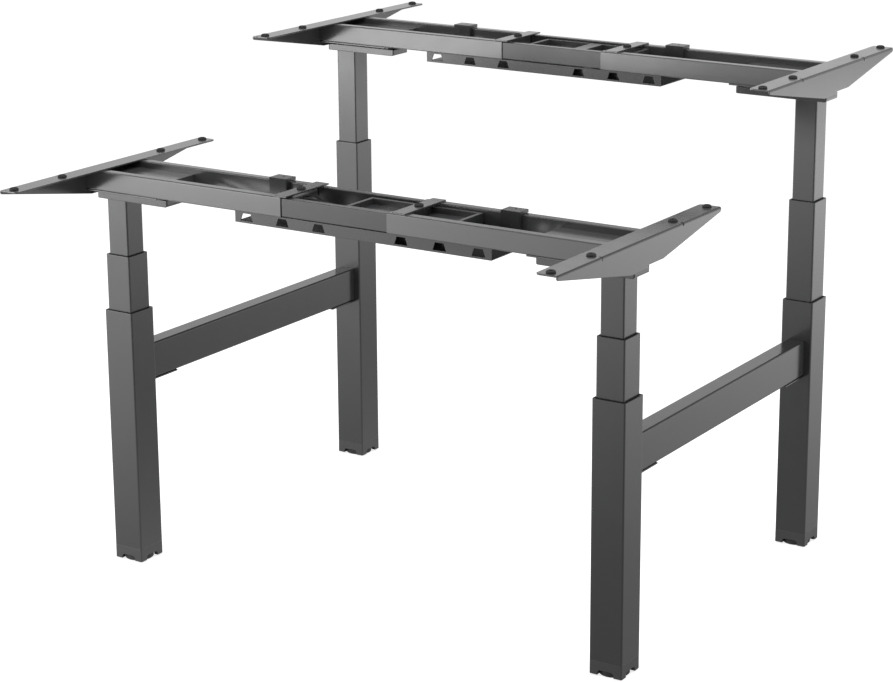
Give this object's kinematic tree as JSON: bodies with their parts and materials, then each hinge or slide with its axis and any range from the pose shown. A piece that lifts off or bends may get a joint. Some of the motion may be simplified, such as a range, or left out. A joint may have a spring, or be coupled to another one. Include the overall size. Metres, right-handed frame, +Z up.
{
  "type": "standing desk frame",
  "caption": "Electric sit-stand frame for face-to-face desks, with telescoping square columns, width-adjusting top frames, cross beams and cable trays.",
  "frame": {"origin": "on the floor, in the middle between the columns", "axes": "+X along the desks to the right as the front desk's user sees it, +Y from the front desk to the rear desk, +Z up"},
  "size_m": [1.255, 1.422, 1.0445],
  "materials": {
    "dark_grey_steel": "satin powder coat",
    "grey_steel": "satin powder coat",
    "motor_metal": "matt",
    "black_plastic": "matt",
    "black_rubber": "matt"
  },
  "bodies": {
    "left_base": {"front_left_outer_tube": "dark_grey_steel", "front_left_outer_bush": "black_plastic", "front_left_foot_cap": "black_plastic", "rear_left_outer_tube": "dark_grey_steel", "rear_left_outer_bush": "black_plastic", "rear_left_foot_cap": "black_plastic", "left_cross_beam": "dark_grey_steel"},
    "right_base": {"front_right_outer_tube": "dark_grey_steel", "front_right_outer_bush": "black_plastic", "front_right_foot_cap": "black_plastic", "rear_right_outer_tube": "dark_grey_steel", "rear_right_outer_bush": "black_plastic", "rear_right_foot_cap": "black_plastic", "right_cross_beam": "dark_grey_steel"},
    "front_left_stage": {"front_left_middle_tube": "dark_grey_steel", "front_left_middle_bush": "black_plastic"},
    "front_left_top": {"front_left_inner_tube": "dark_grey_steel", "front_left_drive": "motor_metal", "front_left_half_frame": "grey_steel", "front_left_bracket": "grey_steel", "front_left_cover": "grey_steel", "front_left_grommets": "black_rubber", "front_middle_rails": "dark_grey_steel", "front_cable_tray": "dark_grey_steel", "front_control_box": "black_plastic", "front_cables": "black_rubber"},
    "front_left_glide": {"front_left_glide": "black_rubber"},
    "front_right_stage": {"front_right_middle_tube": "dark_grey_steel", "front_right_middle_bush": "black_plastic"},
    "front_right_top": {"front_right_inner_tube": "dark_grey_steel", "front_right_drive": "motor_metal", "front_right_half_frame": "grey_steel", "front_right_bracket": "grey_steel", "front_right_cover": "grey_steel", "front_right_grommets": "black_rubber"},
    "front_right_glide": {"front_right_glide": "black_rubber"},
    "rear_left_stage": {"rear_left_middle_tube": "dark_grey_steel", "rear_left_middle_bush": "black_plastic"},
    "rear_left_top": {"rear_left_inner_tube": "dark_grey_steel", "rear_left_drive": "motor_metal", "rear_left_half_frame": "grey_steel", "rear_left_bracket": "grey_steel", "rear_left_cover": "grey_steel", "rear_left_grommets": "black_rubber", "rear_middle_rails": "dark_grey_steel", "rear_cable_tray": "dark_grey_steel", "rear_control_box": "black_plastic", "rear_cables": "black_rubber"},
    "rear_left_glide": {"rear_left_glide": "black_rubber"},
    "rear_right_stage": {"rear_right_middle_tube": "dark_grey_steel", "rear_right_middle_bush": "black_plastic"},
    "rear_right_top": {"rear_right_inner_tube": "dark_grey_steel", "rear_right_drive": "motor_metal", "rear_right_half_frame": "grey_steel", "rear_right_bracket": "grey_steel", "rear_right_cover": "grey_steel", "rear_right_grommets": "black_rubber"},
    "rear_right_glide": {"rear_right_glide": "black_rubber"}
  },
  "joints": [
    {"name": "width", "type": "slide", "parent": "left_base", "child": "right_base", "axis": [1, 0, 0], "range_m": [-0.06, 0.05]},
    {"name": "front_lift", "type": "slide", "parent": "left_base", "child": "front_left_top", "axis": [0, 0, 1], "range_m": [-0.208, 0.432]},
    {"name": "front_right_lift", "type": "slide", "parent": "right_base", "child": "front_right_top", "axis": [0, 0, 1], "range_m": [-0.208, 0.432]},
    {"name": "front_left_stage_slide", "type": "slide", "parent": "left_base", "child": "front_left_stage", "axis": [0, 0, 1], "range_m": [-0.104, 0.216]},
    {"name": "front_right_stage_slide", "type": "slide", "parent": "right_base", "child": "front_right_stage", "axis": [0, 0, 1], "range_m": [-0.104, 0.216]},
    {"name": "rear_lift", "type": "slide", "parent": "left_base", "child": "rear_left_top", "axis": [0, 0, 1], "range_m": [-0.4, 0.24]},
    {"name": "rear_right_lift", "type": "slide", "parent": "right_base", "child": "rear_right_top", "axis": [0, 0, 1], "range_m": [-0.4, 0.24]},
    {"name": "rear_left_stage_slide", "type": "slide", "parent": "left_base", "child": "rear_left_stage", "axis": [0, 0, 1], "range_m": [-0.2, 0.12]},
    {"name": "rear_right_stage_slide", "type": "slide", "parent": "right_base", "child": "rear_right_stage", "axis": [0, 0, 1], "range_m": [-0.2, 0.12]},
    {"name": "front_left_level", "type": "slide", "parent": "left_base", "child": "front_left_glide", "axis": [0, 0, -1], "range_m": [0, 0.012]},
    {"name": "front_right_level", "type": "slide", "parent": "right_base", "child": "front_right_glide", "axis": [0, 0, -1], "range_m": [0, 0.012]},
    {"name": "rear_left_level", "type": "slide", "parent": "left_base", "child": "rear_left_glide", "axis": [0, 0, -1], "range_m": [0, 0.012]},
    {"name": "rear_right_level", "type": "slide", "parent": "right_base", "child": "rear_right_glide", "axis": [0, 0, -1], "range_m": [0, 0.012]}
  ],
  "couplings": [
    {"joint": "front_right_lift", "follows": "front_lift", "ratio": 1},
    {"joint": "front_left_stage_slide", "follows": "front_lift", "ratio": 0.5},
    {"joint": "front_right_stage_slide", "follows": "front_lift", "ratio": 0.5},
    {"joint": "rear_right_lift", "follows": "rear_lift", "ratio": 1},
    {"joint": "rear_left_stage_slide", "follows": "rear_lift", "ratio": 0.5},
    {"joint": "rear_right_stage_slide", "follows": "rear_lift", "ratio": 0.5}
  ]
}
